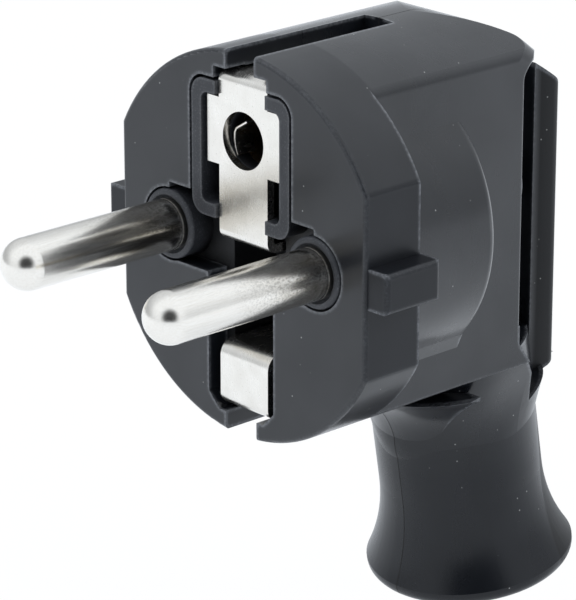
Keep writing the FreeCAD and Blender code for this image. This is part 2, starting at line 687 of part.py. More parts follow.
def pin_carrier():
    """Moulded insert: plate, pin collars, frame, receptacle tube and the earth terminal's block."""
    front = FACE_WALL + SLIP
    back = front + CARRIER_T
    plate = rod_y(BOSS_R - BOSS_WALL - CARRIER_CLEARANCE, front, back)
    collars = [rod_y(COLLAR_R, -COLLAR_PROUD, front, side * PIN_HALF_SPACING) for side in (-1, 1)]
    collars = [fillet_where(c, EDGE_BEVEL, lambda e: e.BoundBox.YMax < NEAR) for c in collars]
    frame = box(-FRAME_HALF_WIDTH, FRAME_HALF_WIDTH, 0, back, FRAME_BOTTOM_Z, FRAME_TOP_Z)
    frame = fillet_where(frame, FRAME_CORNER_R, lambda e: runs_along(e, V(0, 1, 0)))
    pocket = box(-FRAME_HALF_WIDTH + FRAME_WALL, FRAME_HALF_WIDTH - FRAME_WALL, -PAST, FRAME_POCKET_DEPTH,
                 FRAME_BOTTOM_Z + FRAME_WALL, FRAME_TOP_Z - FRAME_WALL)
    pocket = fillet_where(pocket, FRAME_CORNER_R / 2, lambda e: runs_along(e, V(0, 1, 0)))
    frame = frame.cut(pocket)
    tube_front = STRIP_FRONT_Y + STRIP_T + SLIP
    tube = rod_y(socket_tube_r(), tube_front, TUBE_END_Y, 0, SOCKET_Z)
    terminal_y = earth_terminal_y()
    lap_z = PLATE_BOTTOM_Z - STRIP_T - SLIP
    block = box(-BLOCK_HALF_WIDTH, BLOCK_HALF_WIDTH, BLOCK_FRONT_Y, terminal_y - SLIP,
                CLIP_TOP_Z + SLIP, lap_z)
    webs = both_sides(box(CARRIER_SLOT_HALF_WIDTH, BLOCK_HALF_WIDTH, back - PAST, BLOCK_FRONT_Y + PAST,
                          CLIP_TOP_Z + SLIP, lap_z))
    saddle = box(-CARRIER_SLOT_HALF_WIDTH, CARRIER_SLOT_HALF_WIDTH, back - OVERLAP, TUBE_END_Y - PAST,
                 PLATE_BOTTOM_Z + SLIP, SOCKET_Z - SOCKET_R - PAST)
    body = fuse_all([plate, frame, tube, block, webs, saddle] + collars)
    strip_half = STRIP_W / 2 + SLIP
    cuts = [rod_y(PIN_R + FIT, -PAST, back + PAST, side * PIN_HALF_SPACING) for side in (-1, 1)]
    hole_r = PIN_R + FIT
    mouth_r = hole_r + COLLAR_HOLE_BEVEL
    for side in (-1, 1):
        mouth = V(side * PIN_HALF_SPACING, -COLLAR_PROUD, 0)
        cuts.append(Part.makeCone(mouth_r, hole_r, COLLAR_HOLE_BEVEL, mouth, V(0, 1, 0)))
    seat_y = PIN_SEAT_START_Y - FIT
    cuts += [rod_y(PIN_SEAT_R + FIT, seat_y, back + PAST, side * PIN_HALF_SPACING) for side in (-1, 1)]
    slot = box(-CARRIER_SLOT_HALF_WIDTH, CARRIER_SLOT_HALF_WIDTH, -PAST, back + OVERLAP,
               CARRIER_SLOT_BOTTOM_Z, PLATE_BOTTOM_Z + SLIP)
    cuts.append(slot)
    cuts.append(box(-strip_half, strip_half, -PAST, tube_front, -FAR, FAR))
    cuts.append(rod_y(SOCKET_R + FIT, -PAST, FAR, 0, SOCKET_Z))
    cuts.append(rod_y(SOCKET_R + SPRING_T + SLIP, SPRING_START_Y - SLIP, FAR, 0, SOCKET_Z))
    half_nut = NUT_SIDE / 2 + SLIP
    cuts.append(box(-half_nut, half_nut, terminal_y - SLIP - NUT_T - SLIP, FAR,
                    EARTH_Z - half_nut, EARTH_Z + half_nut))
    cuts.append(rod_y(EARTH_SCREW_R + 2 * SLIP, BLOCK_FRONT_Y + PAST, FAR, 0, EARTH_Z))
    for cut in cuts:
        body = body.cut(cut)
    return body


def contact_pin(side):
    """Turned pin: domed shank, relief groove, seat with a flange, and a head with a wire hole and a thread."""
    seat = FACE_WALL + SLIP + CARRIER_T + FIT
    head_start = seat + PIN_FLANGE_T
    head_end = head_start + PIN_HEAD_LENGTH
    x = side * PIN_HALF_SPACING
    tip = -PIN_LENGTH
    dome = Part.makeSphere(PIN_R, V(x, tip + PIN_R, 0))
    shank = rod_y(PIN_R, tip + PIN_R, PIN_GROOVE_START_Y, x)
    groove = rod_y(PIN_GROOVE_R, PIN_GROOVE_START_Y, PIN_SEAT_START_Y, x)
    shoulder = rod_y(PIN_SEAT_R, PIN_SEAT_START_Y, head_start, x)
    flange = rod_y(PIN_FLANGE_R, seat, head_start, x)
    flange = bevel_where(flange, TURNED_BEVEL, lambda e: e.BoundBox.YMin > head_start - NEAR)
    head = rod_y(PIN_HEAD_R, head_start, head_end, x)
    head = bevel_where(head, TURNED_BEVEL, lambda e: e.BoundBox.YMin > head_end - NEAR)
    pin = fuse_all([dome, shank, groove, shoulder, flange, head])
    wire_y = wire_hole_y()
    wire_hole = Part.makeCylinder(WIRE_HOLE_R, 4 * PIN_HEAD_R, V(x, wire_y, -2 * PIN_HEAD_R), V(0, 0, 1))
    thread = rod_y(TERMINAL_SCREW_R + FIT, wire_y, head_end + PAST, x)
    return pin.cut(wire_hole).cut(thread)


def wire_hole_y():
    seat = FACE_WALL + SLIP + CARRIER_T + FIT
    return seat + PIN_FLANGE_T + PIN_HEAD_LENGTH / 2 - WIRE_HOLE_R / 2


def pressure_plate(side):
    """Disc that the terminal screw pushes on to the wire."""
    start = wire_hole_y() + WIRE_HOLE_R - PRESSURE_PLATE_T
    return rod_y(TERMINAL_SCREW_R - FIT, start, start + PRESSURE_PLATE_T, side * PIN_HALF_SPACING)


def slotted_head(radius, start, end, x, z):
    head = rod_y(radius, start, end, x, z)
    head = bevel_where(head, TURNED_BEVEL, lambda e: e.BoundBox.YMin > end - NEAR)
    slot = box(x - SLOT_W / 2, x + SLOT_W / 2, end - SLOT_DEPTH, end + PAST, z - 2 * radius, z + 2 * radius)
    return head.cut(slot)


def terminal_screw(side):
    x = side * PIN_HALF_SPACING
    head_end = FACE_WALL + SLIP + CARRIER_T + FIT + PIN_FLANGE_T + PIN_HEAD_LENGTH
    start = wire_hole_y() + WIRE_HOLE_R + SLIP
    shank = rod_y(TERMINAL_SCREW_R, start, head_end + SLIP, x)
    head = slotted_head(TERMINAL_HEAD_R, head_end + SLIP, head_end + SLIP + TERMINAL_HEAD_T, x, 0)
    return fuse_all([shank, head])


def bent_strip(points, radii, thickness, width):
    """Strip bent along a (y, z) path of one face; the sign of the thickness picks the side."""
    edges = []
    start = V(0, *points[0])
    for index in range(1, len(points) - 1):
        before = V(0, *points[index - 1])
        corner = V(0, *points[index])
        after = V(0, *points[index + 1])
        into = (before - corner).normalize()
        out = (after - corner).normalize()
        angle = into.getAngle(out)
        reach = radii[index - 1] / math.tan(angle / 2)
        first = corner + into * reach
        last = corner + out * reach
        bisector = (into + out).normalize()
        centre = corner + bisector * (radii[index - 1] / math.sin(angle / 2))
        middle = centre - bisector * radii[index - 1]
        edges.append(Part.makeLine(start, first))
        edges.append(Part.Arc(first, middle, last).toShape())
        start = last
    edges.append(Part.makeLine(start, V(0, *points[-1])))
    face = Part.Wire(edges).makeOffset2D(thickness, 0, True, True, False)
    face.translate(V(-width / 2, 0, 0))
    return face.extrude(V(width, 0, 0))


def strip_top_z():
    """Height of both strips' contact faces, just inside the lips."""
    return RIM_R - LIP_T - STRIP_GAP - FIT


def earth_terminal_y():
    """Front face of the first strip's lug at the earth terminal."""
    return TUBE_END_Y - STRIP_T - SLIP


def earth_hole(y0, y1):
    return rod_y(EARTH_SCREW_R + SLIP, y0, y1, 0, EARTH_Z)


def earth_strip_top():
    """Top side clip, front plate with the round hole, and a tail down to the earth terminal."""
    top = strip_top_z()
    terminal = earth_terminal_y()
    tail_z = PLATE_BOTTOM_Z - STRIP_T
    path = [
        (STRIP_END_Y, top),
        (STRIP_FRONT_Y, top),
        (STRIP_FRONT_Y, tail_z),
        (terminal, tail_z),
        (terminal, EARTH_Z - EARTH_LAP),
    ]
    strip = bent_strip(path, [STRIP_BEND_R, STRIP_BEND_R, LUG_BEND_R], -STRIP_T, STRIP_W)
    wings = box(-PLATE_WING_HALF_WIDTH, PLATE_WING_HALF_WIDTH, STRIP_FRONT_Y, STRIP_FRONT_Y + STRIP_T,
                PLATE_WING_BOTTOM_Z, PLATE_WING_TOP_Z)
    strip = fuse_all([strip, wings])
    strip = strip.cut(rod_y(SOCKET_R, -PAST, STRIP_FRONT_Y + 2 * STRIP_T, 0, SOCKET_Z))
    return strip.cut(earth_hole(terminal - PAST, terminal + 2 * STRIP_T))


def earth_strip_bottom():
    """Bottom side clip, bent back over the front, with a tail up to the earth terminal."""
    low = -strip_top_z()
    lug = earth_terminal_y() + STRIP_T + FIT
    path = [
        (STRIP_END_Y, low),
        (STRIP_FRONT_Y, low),
        (STRIP_FRONT_Y, CLIP_TOP_Z),
        (lug, CLIP_TOP_Z),
        (lug, EARTH_Z + EARTH_LAP),
    ]
    strip = bent_strip(path, [STRIP_BEND_R, CLIP_BEND_R, LUG_BEND_R], STRIP_T, STRIP_W)
    return strip.cut(earth_hole(lug - PAST, lug + 2 * STRIP_T))


def receptacle_spring():
    """Curved leaf in the receptacle tube, with a tongue down to the earth terminal."""
    outer = SOCKET_R + SPRING_T
    ring = rod_y(outer, SPRING_START_Y, TUBE_END_Y + SPRING_PROUD, 0, SOCKET_Z)
    ring = ring.cut(rod_y(SOCKET_R, 0, FAR, 0, SOCKET_Z))
    first = math.radians(SPRING_FIRST_ANGLE)
    last = math.radians(SPRING_LAST_ANGLE)
    steps = 6
    wedge = [(0.0, SOCKET_Z)]
    for index in range(steps + 1):
        angle = first + (last - first) * index / steps
        wedge.append((3 * outer * math.cos(angle), SOCKET_Z + 3 * outer * math.sin(angle)))
    leaf = ring.common(prism_y(wedge, 0, FAR))
    lug_front = earth_terminal_y() + 2 * STRIP_T + 2 * FIT + SLIP
    tongue_top = SOCKET_Z - SOCKET_R - SPRING_T
    half = SPRING_TONGUE_W / 2
    bridge = box(-half, half, TUBE_END_Y + FIT, lug_front + SPRING_T, tongue_top, tongue_top + SPRING_T)
    bridge = bridge.cut(rod_y(SOCKET_R, 0, FAR, 0, SOCKET_Z))
    tongue = box(-half, half, lug_front, lug_front + SPRING_T, EARTH_Z - EARTH_LAP, tongue_top + SPRING_T)
    spring = fuse_all([leaf, bridge, tongue])
    return spring.cut(earth_hole(lug_front - PAST, lug_front + PAST))


def earth_stack_y():
    """Back of the spring's tongue, where the washer starts."""
    return earth_terminal_y() + 2 * STRIP_T + 2 * FIT + SLIP + SPRING_T + FIT


def earth_terminal_nut():
    half = NUT_SIDE / 2
    end = earth_terminal_y() - SLIP
    nut = box(-half, half, end - NUT_T, end, EARTH_Z - half, EARTH_Z + half)
    return nut.cut(rod_y(EARTH_SCREW_R + FIT, end - NUT_T - PAST, end + PAST, 0, EARTH_Z))


def earth_terminal_washer():
    half = WASHER_SIDE / 2
    start = earth_stack_y()
    plate = box(-half, half, start, start + WASHER_T, EARTH_Z - half, EARTH_Z + half)
    plate = fillet_where(plate, STRIP_BEND_R, lambda e: runs_along(e, V(0, 1, 0)))
    return plate.cut(rod_y(EARTH_SCREW_R + SLIP, start - PAST, start + WASHER_T + PAST, 0, EARTH_Z))


def earth_terminal_screw():
    start = earth_stack_y() + WASHER_T + FIT
    shank = rod_y(EARTH_SCREW_R, BLOCK_FRONT_Y + 2 * PAST, start, 0, EARTH_Z)
    head = slotted_head(EARTH_HEAD_R, start, start + EARTH_HEAD_T, 0, EARTH_Z)
    return fuse_all([shank, head])


def housing_screw(name):
    y, z = screw_places()[name]
    seat = screw_seat_x(name) - FIT
    head = rod_x(SCREW_HEAD_R, seat - SCREW_HEAD_T, seat, y, z)
    head = bevel_where(head, TURNED_BEVEL, lambda e: e.BoundBox.XMax < seat - SCREW_HEAD_T + NEAR)
    shank = rod_x(SCREW_R, seat, INSERT_LENGTH + SEAM_GAP / 2, y, z)
    arm = CROSS_REACH
    outer = seat - SCREW_HEAD_T
    half = SLOT_W / 2
    cross = box(outer - PAST, outer + SLOT_DEPTH, y - arm, y + arm, z - half, z + half)
    cross = cross.fuse(box(outer - PAST, outer + SLOT_DEPTH, y - half, y + half, z - arm, z + arm))
    return fuse_all([head, shank]).cut(cross)


def housing_insert(name):
    y, z = screw_places()[name]
    start = SEAM_GAP / 2 + FIT
    end = start + INSERT_LENGTH - FIT
    bush = rod_x(INSERT_R, start, end, y, z)
    first = start + INSERT_GROOVE_START
    groove = rod_x(INSERT_R + PAST, first, first + INSERT_GROOVE_W, y, z)
    groove = groove.cut(rod_x(INSERT_R - INSERT_GROOVE_DEPTH, 0, FAR, y, z))
    return bush.cut(groove).cut(rod_x(SCREW_R + FIT, start - PAST, end + PAST, y, z))


def cord_grip(side):
    """Half ring with round teeth inside, seated in the neck."""
    inner = GRIP_R - GRIP_WALL
    pitch = GRIP_LENGTH / GRIP_TEETH
    end = GRIP_START + GRIP_LENGTH
    corners = [along_handle(GRIP_START, GRIP_R), along_handle(GRIP_START, inner)]
    for index in range(GRIP_TEETH):
        first = GRIP_START + index * pitch
        corners.append(along_handle(first + pitch / 2, inner - GRIP_TOOTH))
        corners.append(along_handle(first + pitch, inner))
    corners.append(along_handle(end, GRIP_R))
    face = Part.Face(Part.makePolygon(corners + [corners[0]]))
    ring = face.revolve(along_handle(0), handle_axis(), 360)
    keep = box(GRIP_PARTING / 2, FAR, -FAR, FAR, -FAR, FAR)
    if side < 0:
        keep = mirrored(keep)
    return ring.common(keep)


def build():
    whole = housing()
    nodes = {
        "left_half_shell": half_shell(whole, -1),
        "right_half_shell": half_shell(whole, 1),
        "pin_carrier": pin_carrier(),
        "earth_strip_top": earth_strip_top(),
        "earth_strip_bottom": earth_strip_bottom(),
        "receptacle_spring": receptacle_spring(),
        "earth_terminal_nut": earth_terminal_nut(),
        "earth_terminal_washer": earth_terminal_washer(),
        "earth_terminal_screw": earth_terminal_screw(),
    }
    for name, side in (("left", -1), ("right", 1)):
        nodes["contact_pin_" + name] = contact_pin(side)
        nodes["terminal_screw_" + name] = terminal_screw(side)
        nodes["pressure_plate_" + name] = pressure_plate(side)
        nodes["cord_grip_" + name] = cord_grip(side)
    for name in screw_places():
        nodes["housing_screw_" + name] = housing_screw(name)
        nodes["housing_insert_" + name] = housing_insert(name)
    return nodes


os.makedirs("parts", exist_ok=True)
for node, shape in build().items():
    print(node, len(shape.Solids), "solid", "volume", round(shape.Volume, 1), "valid", shape.isValid())
    shape.exportStep("parts/" + node + ".step")
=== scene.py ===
# %% [markdown]
# # A right-angle mains plug in Blender
# The solids come from the CAD model and stay where they are. This lesson lights them, sets the
# camera, and gives each moulded or metal piece the finish that the real one has.

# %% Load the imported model
import json
import math

import bpy
from mathutils import Matrix, Vector


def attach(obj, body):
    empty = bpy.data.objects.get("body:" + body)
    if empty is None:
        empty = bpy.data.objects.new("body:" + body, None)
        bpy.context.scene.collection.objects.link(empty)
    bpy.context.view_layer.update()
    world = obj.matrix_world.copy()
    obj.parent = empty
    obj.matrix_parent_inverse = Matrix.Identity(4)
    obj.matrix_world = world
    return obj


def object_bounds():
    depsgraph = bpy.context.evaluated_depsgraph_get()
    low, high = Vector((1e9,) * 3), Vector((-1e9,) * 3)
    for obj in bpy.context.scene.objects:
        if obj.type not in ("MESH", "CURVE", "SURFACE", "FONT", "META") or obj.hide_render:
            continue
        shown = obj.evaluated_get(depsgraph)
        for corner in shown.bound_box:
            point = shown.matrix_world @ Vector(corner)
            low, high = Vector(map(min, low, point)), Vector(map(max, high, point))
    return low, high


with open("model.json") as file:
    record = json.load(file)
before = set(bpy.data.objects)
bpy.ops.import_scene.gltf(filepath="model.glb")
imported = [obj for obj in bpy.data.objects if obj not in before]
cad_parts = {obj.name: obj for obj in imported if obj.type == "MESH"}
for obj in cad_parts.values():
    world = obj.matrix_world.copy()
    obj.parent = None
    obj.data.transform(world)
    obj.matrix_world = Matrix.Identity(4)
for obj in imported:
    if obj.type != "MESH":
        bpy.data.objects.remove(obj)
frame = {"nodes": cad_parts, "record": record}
cad_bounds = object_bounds()

# %% [markdown]
# ## Camera
# The photograph was taken with a long lens from the front right and a little above. The camera's
# distance and angles were worked out from the pins and the round face, whose sizes are known.
# A long lens keeps the two pins nearly parallel. The camera is turned a little instead of shifted,
# so that other views are framed the same way.

# %% Camera at the photograph's angle
AZIMUTH = math.radians(47.803)
ELEVATION = math.radians(18.557)
ROLL = math.radians(-0.267)
DISTANCE = 0.32306
FOCAL_PX = 3637.75
FRAME_W, FRAME_H = 576, 600
ORIGIN_PX = (240.175, 247.872)
SENSOR_H = 36.0
CLIP_NEAR, CLIP_FAR = 0.01, 10.0

back = Vector((math.sin(AZIMUTH) * math.cos(ELEVATION),
               -math.cos(AZIMUTH) * math.cos(ELEVATION),
               math.sin(ELEVATION)))
level_right = Vector((math.cos(AZIMUTH), math.sin(AZIMUTH), 0))
level_up = back.cross(level_right)
right = level_right * math.cos(ROLL) + level_up * math.sin(ROLL)
up = level_up * math.cos(ROLL) - level_right * math.sin(ROLL)
turn_right = (FRAME_W / 2 - ORIGIN_PX[0]) / FOCAL_PX
turn_down = (FRAME_H / 2 - ORIGIN_PX[1]) / FOCAL_PX
axis_z = (back - right * turn_right + up * turn_down).normalized()
axis_x = up.cross(axis_z).normalized()
axis_y = axis_z.cross(axis_x)

lens = bpy.data.cameras.new("photo_camera")
lens.sensor_fit = "VERTICAL"
lens.sensor_height = SENSOR_H
lens.lens = FOCAL_PX * SENSOR_H / FRAME_H
lens.clip_start = CLIP_NEAR
lens.clip_end = CLIP_FAR
camera = bpy.data.objects.new("photo_camera", lens)
bpy.context.scene.collection.objects.link(camera)
turned = Matrix((axis_x, axis_y, axis_z)).transposed()
camera.matrix_world = Matrix.Translation(back * DISTANCE) @ turned.to_4x4()
bpy.context.scene.camera = camera
print("camera at", [round(v, 4) for v in camera.location], "lens", round(lens.lens, 2), "mm")

# %% [markdown]
# ## Shader maths as arithmetic
# A node tree is long to write by hand. A small class wraps one output socket, so that `a * 2 + b`
# adds the Math nodes, and one method makes every other kind of node. Each finish below then reads
# like a recipe.

# %% A number in a node tree
class Value:
    """One output of a node tree that can be used in arithmetic."""

    def __init__(self, tree, socket):
        self.tree = tree
        self.socket = socket

    def maths(self, operation, first, second, clamp=False):
        node = self.tree.nodes.new("ShaderNodeMath")
        node.operation = operation
        node.use_clamp = clamp
        for slot, item in zip(node.inputs, (first, second)):
            if isinstance(item, Value):
                self.tree.links.new(item.socket, slot)
            else:
                slot.default_value = item
        return Value(self.tree, node.outputs[0])

    def __add__(self, other):
        return self.maths("ADD", self, other)

    def __sub__(self, other):
        return self.maths("SUBTRACT", self, other)

    def __rsub__(self, other):
        return self.maths("SUBTRACT", other, self)

    def __mul__(self, other):
        return self.maths("MULTIPLY", self, other)

    __radd__ = __add__
    __rmul__ = __mul__

    def size(self):
        return self.maths("ABSOLUTE", self, 0.0)

    def ramp(self, start, end):
        """0 below start, 1 above end, straight between them."""
        return self.maths("MULTIPLY", self - start, 1.0 / (end - start), clamp=True)


# %% A material with its own tree
MM_PER_M = 1000.0
EDGE_RAYS = 8


class Finish:
    """A material whose nodes come from one method."""

    def __init__(self, name):
        self.name = name
        self.material = bpy.data.materials.new(name)
        self.material.use_nodes = True
        self.tree = self.material.node_tree
        self.shader = self.tree.nodes["Principled BSDF"]

    def node(self, kind, settings=None, sockets=None, out=0):
        made = self.tree.nodes.new(kind)
        for key, item in (settings or {}).items():
            setattr(made, key, item)
        for key, item in (sockets or {}).items():
            self.feed(made.inputs[key], item)
        return Value(self.tree, made.outputs[out])

    def feed(self, socket, item):
        if isinstance(item, Value):
            self.tree.links.new(item.socket, socket)
        elif isinstance(item, tuple) and len(item) == 3 and socket.type == "RGBA":
            socket.default_value = (*item, 1.0)
        else:
            socket.default_value = item

    def set(self, **sockets):
        for key, item in sockets.items():
            self.feed(self.shader.inputs[key.replace("_", " ")], item)

    def place(self, stretch=(1, 1, 1), turn=(0, 0, 0)):
        """Object coordinates in millimetres, stretched and turned."""
        coords = self.node("ShaderNodeTexCoord", out="Object")
        scale = tuple(MM_PER_M / s for s in stretch)
        sockets = {"Vector": coords, "Rotation": turn, "Scale": scale}
        return self.node("ShaderNodeMapping", {}, sockets)

    def axis(self, name):
        """One object coordinate in millimetres."""
        return self.node("ShaderNodeSeparateXYZ", {}, {"Vector": self.place()}, out=name)

    def noise(self, grain, stretch=(1, 1, 1), detail=2.0, rough=0.5, turn=(0, 0, 0)):
        """Noise of about 0 to 1 with grains of a size in millimetres."""
        sockets = {"Vector": self.place(stretch, turn), "Scale": 1.0 / grain}
        sockets.update({"Detail": detail, "Roughness": rough})
        return self.node("ShaderNodeTexNoise", {}, sockets)

    def blend(self, first, second, share):
        """Mix of two colours, which are sockets 6 and 7 of a Mix node, with output 2 for the mix."""
        sockets = {"Factor": share, 6: first, 7: second}
        return self.node("ShaderNodeMix", {"data_type": "RGBA"}, sockets, out=2)

    def edges(self, reach_mm):
        """1 on an outer edge and 0 away from it, from how soon a ray into the solid leaves it."""
        settings = {"samples": EDGE_RAYS, "inside": True, "only_local": True}
        sockets = {"Distance": reach_mm / MM_PER_M}
        return 1 - self.node("ShaderNodeAmbientOcclusion", settings, sockets, out="AO")

    def bumps(self, height, depth_mm, strength=1.0):
        """Normal from a height of 0 to 1 that stands for a depth in millimetres."""
        sockets = {"Height": height, "Distance": depth_mm / MM_PER_M, "Strength": strength}
        self.set(Normal=self.node("ShaderNodeBump", {}, sockets))


finishes = {}


def keep(skin):
    """Store a finish under its own name."""
    finishes[skin.name] = skin.material
    print(skin.name, "has", len(skin.tree.nodes), "nodes")


# %% [markdown]
# ## Moulded shells
# The two half shells are nearly black thermoplastic, and what the eye sees on them is gloss. The
# body is polished, so it gets a thin clear coat over a dull base, and the coat is weaker on the
# flats, the lugs and the neck, where the mould has a finer grain, and on the rear flange. The rear
# flange is also darkened in colour, as painted shade from the groove in front of it. The outer
# edges are a little rubbed and paler, and that pale line is also a painted highlight along them,
# but the joint of the two shells and the neck stay clean. A few specks of dust lie on the skin. A
# painted mask could mark these zones, but they follow from the place of a point in millimetres,
# which needs no picture.

# %% Zones of the shell
RIM_END_Y = (6.7, 6.9)
FLAT_START_X = (15.7, 15.85)
NECK_TOP_Z = (-27.0, -12.0)
FLANGE_START_Y = (32.4, 32.8)
JOINT_END_X = (0.35, 0.65)


def shell_zones(skin):
    """Masks for the rim, the rear flange, all that is dull, and all but the joint."""
    x, y, z = (skin.axis(name) for name in "XYZ")
    on_rim = 1 - y.ramp(*RIM_END_Y)
    on_flat = on_rim * x.size().ramp(*FLAT_START_X)
    on_neck = (1 - on_rim) * (1 - z.ramp(*NECK_TOP_Z))
    on_flange = y.ramp(*FLANGE_START_Y)
    dull = (on_flat + on_neck + on_flange).ramp(0.0, 1.0)
    off_joint = x.size().ramp(*JOINT_END_X) * (1 - on_neck * 0.9)
    return on_rim, on_flange, dull, off_joint


# %% Wear with a painted edge highlight, and dust
WEAR_AND_HIGHLIGHT_REACH = 0.45
WEAR_AND_HIGHLIGHT_LEVELS = (0.10, 0.30)
CELLS_PER_MM = 0.85
CELLS_WITH_DUST = (0.62, 0.64)
SPECK_EDGE = (0.04, 0.075)


def shell_wear_and_highlight(skin, off_joint):
    """Chipped and paler edges, partly wear and partly a painted highlight."""
    chips = skin.noise(0.35, detail=3.0, rough=0.7).ramp(0.42, 0.62)
    return skin.edges(WEAR_AND_HIGHLIGHT_REACH).ramp(*WEAR_AND_HIGHLIGHT_LEVELS) * (chips * 0.6 + 0.4) * off_joint


def shell_dust(skin):
    """A small round speck in about a third of the cells of a Voronoi pattern."""
    sockets = {"Vector": skin.place(), "Scale": CELLS_PER_MM}
    from_middle = skin.node("ShaderNodeTexVoronoi", {}, sockets, out="Distance")
    tint = skin.node("ShaderNodeTexVoronoi", {}, sockets, out="Color")
    picked = skin.node("ShaderNodeSeparateColor", {}, {"Color": tint})
    return picked.ramp(*CELLS_WITH_DUST) * (1 - from_middle.ramp(*SPECK_EDGE))


# %% Shell plastic
FRESH_BLACK = (0.0060, 0.0072, 0.0098), (0.0090, 0.0104, 0.0138)
FLANGE_PAINTED_SHADE = (0.0030, 0.0034, 0.0044)
WORN_AND_HIGHLIGHT_GREY = (0.240, 0.250, 0.270)
DUST_GREY = (0.40, 0.40, 0.39)
RUB_TURN = (0.5, 0.2, 0.9)
SKIN_DEPTH = 0.018


def shell_plastic():
    skin = Finish("shell_plastic")
    on_rim, on_flange, dull, off_joint = shell_zones(skin)
    dust = shell_dust(skin)
    cloud = skin.noise(7.0, detail=3.0)
    fresh = skin.blend(*FRESH_BLACK, cloud.ramp(0.3, 0.7))
    # The rear flange is darkened in colour: painted shade from the groove in front of it.
    plain = skin.blend(fresh, FLANGE_PAINTED_SHADE, on_flange)
    # Paler outer edges: partly rubbed wear, partly a painted highlight.
    worn_and_highlit = skin.blend(plain, WORN_AND_HIGHLIGHT_GREY, shell_wear_and_highlight(skin, off_joint) * 0.6)
    skin.set(Base_Color=skin.blend(worn_and_highlit, DUST_GREY, dust * 0.8))
    flow = skin.noise(2.2, stretch=(1, 1, 5), detail=2.0)
    rub = skin.noise(0.3, stretch=(1, 10, 1), detail=2.0, turn=RUB_TURN).ramp(0.64, 0.76)
    rough = on_rim * 0.08 + on_flange * 0.2 + flow * 0.08 + rub * 0.05 + dust * 0.3 + 0.24
    skin.set(Roughness=rough, IOR=1.38)
    polish = (1 - dull * 0.9) * (1 - on_rim * 0.28)
    skin.set(Coat_Weight=polish * (cloud * 0.4 + 0.50), Coat_Roughness=0.2, Coat_IOR=1.5)
    peel = skin.noise(0.8, detail=2.0)
    grain = skin.noise(0.09, detail=2.0, rough=0.6)
    height = peel * (1 - on_rim * 0.6) + grain * (on_rim * 0.35 + 0.08)
    skin.bumps(height, SKIN_DEPTH, 0.35)
    keep(skin)


shell_plastic()

# %% [markdown]
# ## Insert
# The insert is a harder moulding with a spark-eroded texture, so it looks matt and finely
# speckled beside the shells. Its outer edges are rubbed pale by the sockets that they have met,
# and that pale line is also a painted highlight. Deeper in, it has no rubbed edges, and its colour
# is darkened to nearly black as painted shade.

# %% Insert plastic
INSERT_GREY = (0.018, 0.020, 0.025), (0.032, 0.034, 0.040)
SPECKLE_GREY = (0.100, 0.103, 0.112)
INSIDE_PAINTED_SHADE = (0.003, 0.003, 0.004)
RUBBED_AND_HIGHLIGHT_GREY = (0.20, 0.205, 0.215)
INSIDE_START_Y = (0.9, 2.2)
RUBBED_AND_HIGHLIGHT_REACH = 0.4


def insert_plastic():
    skin = Finish("insert_plastic")
    pits = skin.noise(0.14, detail=3.0, rough=0.6)
    patches = skin.noise(2.5, detail=2.0)
    speckle = skin.noise(0.17, detail=1.0).ramp(0.56, 0.74)
    inside = skin.axis("Y").ramp(*INSIDE_START_Y)
    # Pale outer edges: partly rubbed wear, partly a painted highlight.
    rubbed_and_highlit = skin.edges(RUBBED_AND_HIGHLIGHT_REACH).ramp(0.14, 0.36) * (speckle * 0.6 + 0.3) * (1 - inside)
    base = skin.blend(*INSERT_GREY, patches.ramp(0.3, 0.7))
    spotted = skin.blend(base, SPECKLE_GREY, speckle * 0.6)
    # Deeper in, the colour is darkened to nearly black: painted shade.
    outer = skin.blend(spotted, INSIDE_PAINTED_SHADE, inside)
    skin.set(Base_Color=skin.blend(outer, RUBBED_AND_HIGHLIGHT_GREY, rubbed_and_highlit * 0.6))
    skin.set(Roughness=pits * 0.12 + 0.42, IOR=1.5)
    skin.bumps(pits, 0.05, 0.6)
    keep(skin)


insert_plastic()

# %% [markdown]
# ## Nickel on the pins and the strips
# The pins are turned and plated, and then rubbed lengthwise each time that they go into a socket.
# So their gloss is soft, and grey stain and fine pits gather towards the face. Where a pin enters
# its collar the groove is darkened, partly dirt and partly painted shade. The strips are stamped
# from bright sheet, so they are cleaner and more even.

# %% Pin nickel
CLEAN_PIN = (0.90, 0.862, 0.795), (0.95, 0.920, 0.862)
STAINED_PIN = (0.46, 0.41, 0.33)
FLECK_BROWN = (0.16, 0.14, 0.11)
COLLAR_DIRT_AND_SHADE = (0.035, 0.034, 0.032)
STAIN_START_Y = (-11.5, -1.5)
COLLAR_START_Y = (-0.5, -0.3)


def pin_nickel():
    skin = Finish("pin_nickel")
    y = skin.axis("Y")
    near_face = y.ramp(*STAIN_START_Y)
    in_collar = y.ramp(*COLLAR_START_Y)
    rubs = skin.noise(0.10, stretch=(1, 30, 1), detail=3.0, rough=0.6)
    pits = skin.noise(0.17, stretch=(1, 1.6, 1), detail=4.0, rough=0.75)
    stain = skin.noise(1.1, stretch=(1, 5, 1), detail=4.0, rough=0.6).ramp(0.40, 0.66)
    flecks = pits.ramp(0.47, 0.60) * (near_face * 0.9 + 0.05)
    clean = skin.blend(*CLEAN_PIN, rubs.ramp(0.35, 0.6))
    stained = skin.blend(clean, STAINED_PIN, stain * near_face * 0.8)
    flecked = skin.blend(stained, FLECK_BROWN, flecks * 0.75)
    # The collar groove is darkened: partly dirt, partly painted shade.
    skin.set(Base_Color=skin.blend(flecked, COLLAR_DIRT_AND_SHADE, in_collar))
    skin.set(Metallic=1 - in_collar)
    skin.set(Roughness=rubs * 0.08 + pits * 0.12 + near_face * 0.04 + in_collar * 0.25 + 0.10)
    skin.bumps(rubs * 0.4 + pits * 0.6, 0.012, 0.45)
    keep(skin)


pin_nickel()

